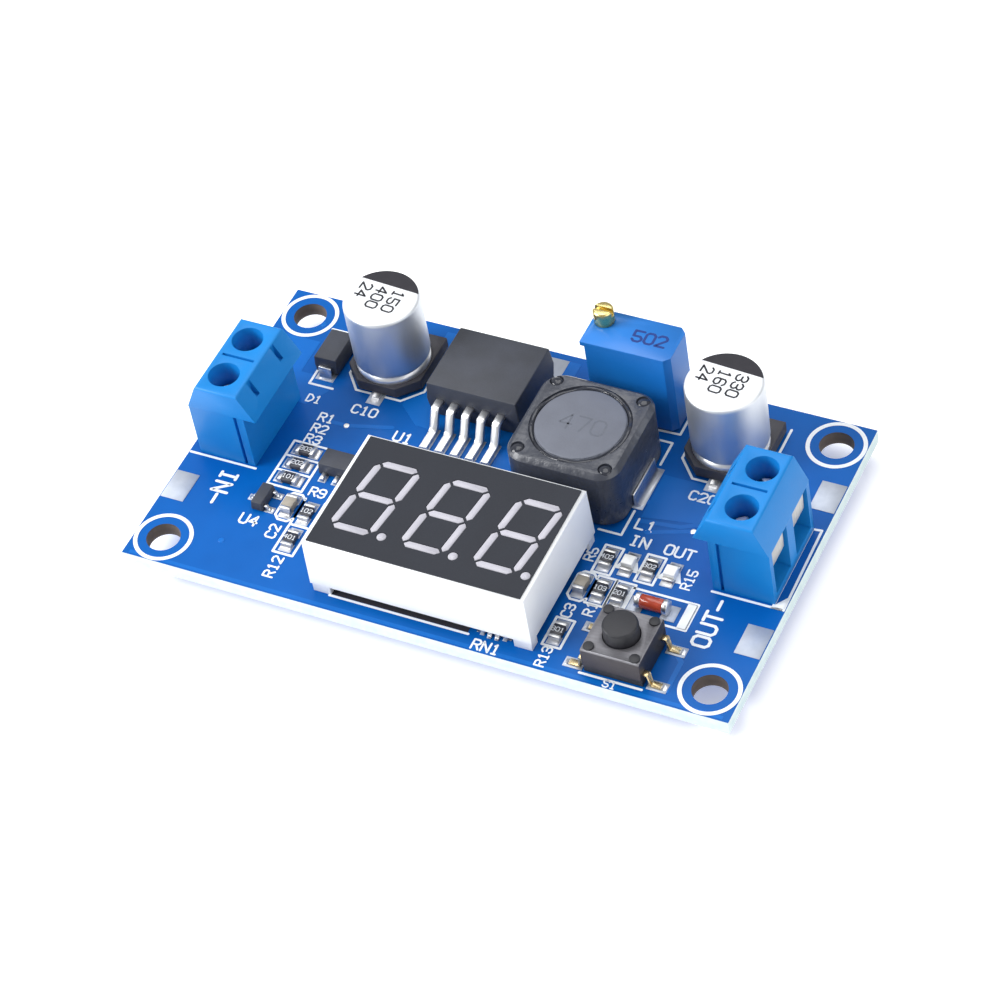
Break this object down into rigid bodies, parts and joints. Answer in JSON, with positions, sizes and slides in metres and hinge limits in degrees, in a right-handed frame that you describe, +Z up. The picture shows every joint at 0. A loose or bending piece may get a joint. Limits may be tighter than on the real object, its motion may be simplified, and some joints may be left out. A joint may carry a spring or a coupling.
{
  "type": "step-down converter module",
  "caption": "Step-down power converter board with screw terminals at both ends, a three-digit voltmeter, a multi-turn trimmer and a mode button.",
  "frame": {"origin": "middle of the four mounting holes, on the underside of the circuit board", "axes": "+X towards the output terminal, +Y towards the trimmer's side, +Z up through the components"},
  "size_m": [0.065, 0.0384, 0.0156],
  "materials": {
    "board_mask": "glossy blue solder mask over glass fibre, pale cut edges",
    "tinned_copper": "satin tin over copper",
    "solder": "bright solder",
    "terminal_plastic": "smooth bright blue moulding",
    "plated_steel": "satin nickel plate",
    "can_aluminium": "satin drawn can",
    "black_plastic": "matte black moulding",
    "ferrite": "matte dark grey ferrite",
    "copper_wire": "enamelled copper wire",
    "trimmer_plastic": "satin blue moulding",
    "potting": "dark blue casting resin",
    "brass": "turned brass",
    "ceramic": "fired ceramic",
    "display_plastic": "white reflector plastic",
    "display_mask": "matte charcoal film",
    "segment_resin": "milky clear resin",
    "switch_metal": "dull grey plated steel",
    "orange_glass": "orange-red glass",
    "capacitor_ceramic": "tan fired ceramic",
    "lamp_resin": "clear resin over a white base"
  },
  "bodies": {
    "board": {"chip_capacitor_bodies": "capacitor_ceramic", "chip_capacitor_ends": "tinned_copper", "circuit_board": "board_mask", "controller_body": "black_plastic", "controller_leads": "tinned_copper", "display_backing": "display_plastic", "display_face": "display_mask", "display_housing": "display_plastic", "display_pins": "tinned_copper", "display_segments": "segment_resin", "glass_diode_body": "orange_glass", "glass_diode_caps": "tinned_copper", "indicator_lamp_ends": "tinned_copper", "indicator_lamps": "lamp_resin", "inductor_core": "ferrite", "inductor_shield": "ferrite", "inductor_terminals": "tinned_copper", "inductor_winding": "copper_wire", "input_capacitor_base": "black_plastic", "input_capacitor_can": "can_aluminium", "input_capacitor_leads": "tinned_copper", "input_diode_body": "black_plastic", "input_diode_leads": "tinned_copper", "input_terminal_housing": "terminal_plastic", "input_wire_cages": "plated_steel", "output_capacitor_base": "black_plastic", "output_capacitor_can": "can_aluminium", "output_capacitor_leads": "tinned_copper", "output_terminal_housing": "terminal_plastic", "output_wire_cages": "plated_steel", "regulator_body": "black_plastic", "regulator_leads": "tinned_copper", "regulator_tab": "tinned_copper", "resistor_bodies": "black_plastic", "resistor_ends": "tinned_copper", "small_regulator_body": "black_plastic", "small_regulator_leads": "tinned_copper", "small_transistor_body": "black_plastic", "small_transistor_leads": "tinned_copper", "solder_joints": "solder", "switch_base": "black_plastic", "switch_cover": "switch_metal", "switch_dome": "plated_steel", "switch_leads": "tinned_copper", "tinned_pads": "tinned_copper", "trimmer_element": "ceramic", "trimmer_housing": "trimmer_plastic", "trimmer_pins": "tinned_copper", "trimmer_potting": "potting"},
    "input_leaf_1": {"input_clamp_leaf_1": "plated_steel"},
    "input_screw_1": {"input_clamp_screw_1": "plated_steel"},
    "input_leaf_2": {"input_clamp_leaf_2": "plated_steel"},
    "input_screw_2": {"input_clamp_screw_2": "plated_steel"},
    "output_leaf_1": {"output_clamp_leaf_1": "plated_steel"},
    "output_screw_1": {"output_clamp_screw_1": "plated_steel"},
    "output_leaf_2": {"output_clamp_leaf_2": "plated_steel"},
    "output_screw_2": {"output_clamp_screw_2": "plated_steel"},
    "trimmer_screw": {"trimmer_screw": "brass"},
    "trimmer_carriage": {"trimmer_carriage": "black_plastic"},
    "button": {"switch_button": "black_plastic"}
  },
  "joints": [
    {"name": "input_press_1", "type": "slide", "parent": "board", "child": "input_leaf_1", "axis": [0, 0, -1], "range_m": [0, 0.002]},
    {"name": "input_turn_1", "type": "hinge", "parent": "input_leaf_1", "child": "input_screw_1", "pos_m": [-0.02775, -0.00224, 0.0075], "axis": [0, 0, -1], "range_deg": [0, 1441]},
    {"name": "input_press_2", "type": "slide", "parent": "board", "child": "input_leaf_2", "axis": [0, 0, -1], "range_m": [0, 0.002]},
    {"name": "input_turn_2", "type": "hinge", "parent": "input_leaf_2", "child": "input_screw_2", "pos_m": [-0.02775, 0.00284, 0.0075], "axis": [0, 0, -1], "range_deg": [0, 1441]},
    {"name": "output_press_1", "type": "slide", "parent": "board", "child": "output_leaf_1", "axis": [0, 0, -1], "range_m": [0, 0.002]},
    {"name": "output_turn_1", "type": "hinge", "parent": "output_leaf_1", "child": "output_screw_1", "pos_m": [0.02775, -0.00224, 0.0075], "axis": [0, 0, -1], "range_deg": [0, 1441]},
    {"name": "output_press_2", "type": "slide", "parent": "board", "child": "output_leaf_2", "axis": [0, 0, -1], "range_m": [0, 0.002]},
    {"name": "output_turn_2", "type": "hinge", "parent": "output_leaf_2", "child": "output_screw_2", "pos_m": [0.02775, 0.00284, 0.0075], "axis": [0, 0, -1], "range_deg": [0, 1441]},
    {"name": "trimmer_turn", "type": "hinge", "parent": "board", "child": "trimmer_screw", "pos_m": [0.00567, 0.01598, 0.0075], "axis": [0, 0, -1], "range_deg": [-4503, 4503]},
    {"name": "trimmer_travel", "type": "slide", "parent": "board", "child": "trimmer_carriage", "axis": [0, 0, 1], "range_m": [-0.00313, 0.00313]},
    {"name": "button_press", "type": "slide", "parent": "board", "child": "button", "axis": [0, 0, -1], "range_m": [0, 0.00025], "stiffness_N_per_m": 6280, "deforming": ["switch_dome"]}
  ],
  "couplings": [
    {"joint": "input_turn_1", "follows": "input_press_1", "rad_per_m": 12566},
    {"joint": "input_turn_2", "follows": "input_press_2", "rad_per_m": 12566},
    {"joint": "output_turn_1", "follows": "output_press_1", "rad_per_m": 12566},
    {"joint": "output_turn_2", "follows": "output_press_2", "rad_per_m": 12566},
    {"joint": "trimmer_turn", "follows": "trimmer_travel", "rad_per_m": 25133}
  ]
}
